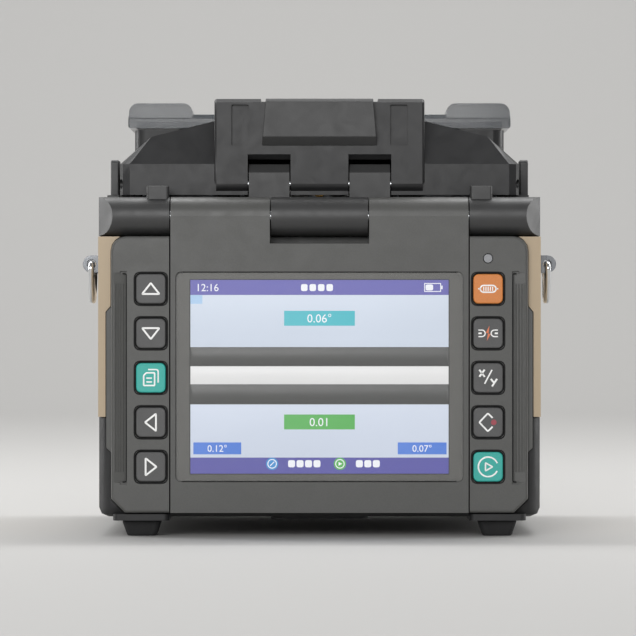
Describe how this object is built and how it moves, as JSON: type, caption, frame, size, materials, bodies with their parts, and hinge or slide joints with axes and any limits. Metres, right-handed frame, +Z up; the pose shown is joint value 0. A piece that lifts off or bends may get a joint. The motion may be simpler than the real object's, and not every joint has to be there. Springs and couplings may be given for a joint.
{
  "type": "fiber fusion splicer",
  "caption": "Cube-shaped field fusion splicer: tilting front monitor between key columns, hinged wind cover over a splicing bench, tube heater behind, battery in the back.",
  "frame": {"origin": "on the ground under the middle of the machine, between the feet", "axes": "+Z up, the screen faces -Y, +X is the operator's right"},
  "size_m": [0.1624, 0.14, 0.1518],
  "materials": {
    "housing": "satin",
    "black": "satin",
    "beige": "satin",
    "rubber": "matte",
    "key_grey": "matte",
    "key_teal": "satin",
    "key_orange": "satin",
    "glass": "gloss",
    "display": "gloss",
    "smoke": "gloss, clear smoke tint",
    "ceramic": "satin",
    "board": "satin",
    "chrome": "polished",
    "steel": "brushed",
    "aluminium": "cast",
    "brass": "turned"
  },
  "bodies": {
    "frame": {"lower_tub": "black", "foot_front_left": "rubber", "foot_front_right": "rubber", "foot_rear_left": "rubber", "foot_rear_right": "rubber", "tripod_socket": "brass", "side_panel_left": "beige", "side_panel_right": "beige", "strap_lug_left": "steel", "strap_lug_right": "steel", "front_fascia": "housing", "status_light": "smoke", "top_deck": "housing", "monitor_hinge_shaft": "steel", "cover_hinge_pin": "steel", "chassis": "aluminium", "rear_cover": "black", "dc_jack": "rubber", "usb_socket": "steel", "main_board": "board", "stage_base": "aluminium", "v_groove_block": "ceramic", "electrode_front": "steel", "electrode_rear": "steel", "objective_front": "black", "objective_rear": "black", "fibre_guide_left": "black", "fibre_guide_right": "black", "heater_body": "black", "heater_trough": "aluminium", "heater_hinge_pin": "steel"},
    "monitor": {"monitor_bezel": "housing", "screen_window": "glass", "lcd_module": "display", "monitor_rear_cover": "black"},
    "wind_cover": {"wind_cover": "black", "lamp_housing": "housing", "led_bar": "smoke"},
    "heater_lid": {"heater_lid": "smoke"},
    "battery": {"battery_pack": "black"},
    "battery_release": {"battery_release": "housing"},
    "port_door": {"port_door": "rubber"},
    "key_right": {"key_right": "key_grey"},
    "key_left": {"key_left": "key_grey"},
    "key_menu": {"key_menu": "key_teal"},
    "key_down": {"key_down": "key_grey"},
    "key_up": {"key_up": "key_grey"},
    "key_run": {"key_run": "key_teal"},
    "key_reset": {"key_reset": "key_grey"},
    "key_view": {"key_view": "key_grey"},
    "key_arc": {"key_arc": "key_grey"},
    "key_heat": {"key_heat": "key_orange"},
    "strap_ring_left": {"strap_ring_left": "chrome"},
    "fibre_clamp_left": {"fibre_clamp_left": "housing"},
    "sheath_stage_left": {"sheath_stage_left": "aluminium"},
    "sheath_lid_left": {"sheath_lid_left": "housing"},
    "strap_ring_right": {"strap_ring_right": "chrome"},
    "fibre_clamp_right": {"fibre_clamp_right": "housing"},
    "sheath_stage_right": {"sheath_stage_right": "aluminium"},
    "sheath_lid_right": {"sheath_lid_right": "housing"}
  },
  "joints": [
    {"name": "monitor_tilt", "type": "hinge", "parent": "frame", "child": "monitor", "pos_m": [0, -0.0628, 0.1085], "axis": [-1, 0, 0], "range_deg": [0, 90]},
    {"name": "wind_cover_open", "type": "hinge", "parent": "frame", "child": "wind_cover", "pos_m": [0, -0.0494, 0.12], "axis": [1, 0, 0], "range_deg": [0, 80]},
    {"name": "heater_lid_open", "type": "hinge", "parent": "frame", "child": "heater_lid", "pos_m": [0, 0.0578, 0.1428], "axis": [-1, 0, 0], "range_deg": [0, 100]},
    {"name": "battery_out", "type": "slide", "parent": "frame", "child": "battery", "axis": [0, 1, 0], "range_m": [0, 0.07]},
    {"name": "battery_release_press", "type": "slide", "parent": "battery", "child": "battery_release", "axis": [0, -1, 0], "range_m": [0, 0.0015], "stiffness_N_per_m": 500},
    {"name": "port_door_open", "type": "hinge", "parent": "frame", "child": "port_door", "pos_m": [0.0736, 0.038, 0.0556], "axis": [0, 1, 0], "range_deg": [0, 100]},
    {"name": "key_right_press", "type": "slide", "parent": "frame", "child": "key_right", "axis": [0, 1, 0], "range_m": [0, 0.0008], "stiffness_N_per_m": 500},
    {"name": "key_left_press", "type": "slide", "parent": "frame", "child": "key_left", "axis": [0, 1, 0], "range_m": [0, 0.0008], "stiffness_N_per_m": 500},
    {"name": "key_menu_press", "type": "slide", "parent": "frame", "child": "key_menu", "axis": [0, 1, 0], "range_m": [0, 0.0008], "stiffness_N_per_m": 500},
    {"name": "key_down_press", "type": "slide", "parent": "frame", "child": "key_down", "axis": [0, 1, 0], "range_m": [0, 0.0008], "stiffness_N_per_m": 500},
    {"name": "key_up_press", "type": "slide", "parent": "frame", "child": "key_up", "axis": [0, 1, 0], "range_m": [0, 0.0008], "stiffness_N_per_m": 500},
    {"name": "key_run_press", "type": "slide", "parent": "frame", "child": "key_run", "axis": [0, 1, 0], "range_m": [0, 0.0008], "stiffness_N_per_m": 500},
    {"name": "key_reset_press", "type": "slide", "parent": "frame", "child": "key_reset", "axis": [0, 1, 0], "range_m": [0, 0.0008], "stiffness_N_per_m": 500},
    {"name": "key_view_press", "type": "slide", "parent": "frame", "child": "key_view", "axis": [0, 1, 0], "range_m": [0, 0.0008], "stiffness_N_per_m": 500},
    {"name": "key_arc_press", "type": "slide", "parent": "frame", "child": "key_arc", "axis": [0, 1, 0], "range_m": [0, 0.0008], "stiffness_N_per_m": 500},
    {"name": "key_heat_press", "type": "slide", "parent": "frame", "child": "key_heat", "axis": [0, 1, 0], "range_m": [0, 0.0008], "stiffness_N_per_m": 500},
    {"name": "strap_ring_left_swing", "type": "hinge", "parent": "frame", "child": "strap_ring_left", "pos_m": [-0.0782, -0.044, 0.0925], "axis": [0, 1, 0], "range_deg": [0, 150]},
    {"name": "fibre_clamp_left_open", "type": "hinge", "parent": "frame", "child": "fibre_clamp_left", "pos_m": [-0.021, -0.0026, 0.1211], "axis": [-1, 0, 0], "range_deg": [0, 80]},
    {"name": "sheath_stage_left_feed", "type": "slide", "parent": "frame", "child": "sheath_stage_left", "axis": [1, 0, 0], "range_m": [0, 0.003]},
    {"name": "sheath_lid_left_open", "type": "hinge", "parent": "sheath_stage_left", "child": "sheath_lid_left", "pos_m": [-0.0463, -0.009, 0.1213], "axis": [-1, 0, 0], "range_deg": [0, 80]},
    {"name": "strap_ring_right_swing", "type": "hinge", "parent": "frame", "child": "strap_ring_right", "pos_m": [0.0782, -0.044, 0.0925], "axis": [0, -1, 0], "range_deg": [0, 150]},
    {"name": "fibre_clamp_right_open", "type": "hinge", "parent": "frame", "child": "fibre_clamp_right", "pos_m": [0.021, -0.0026, 0.1211], "axis": [-1, 0, 0], "range_deg": [0, 80]},
    {"name": "sheath_stage_right_feed", "type": "slide", "parent": "frame", "child": "sheath_stage_right", "axis": [-1, 0, 0], "range_m": [0, 0.003]},
    {"name": "sheath_lid_right_open", "type": "hinge", "parent": "sheath_stage_right", "child": "sheath_lid_right", "pos_m": [0.0463, -0.009, 0.1213], "axis": [-1, 0, 0], "range_deg": [0, 80]}
  ]
}
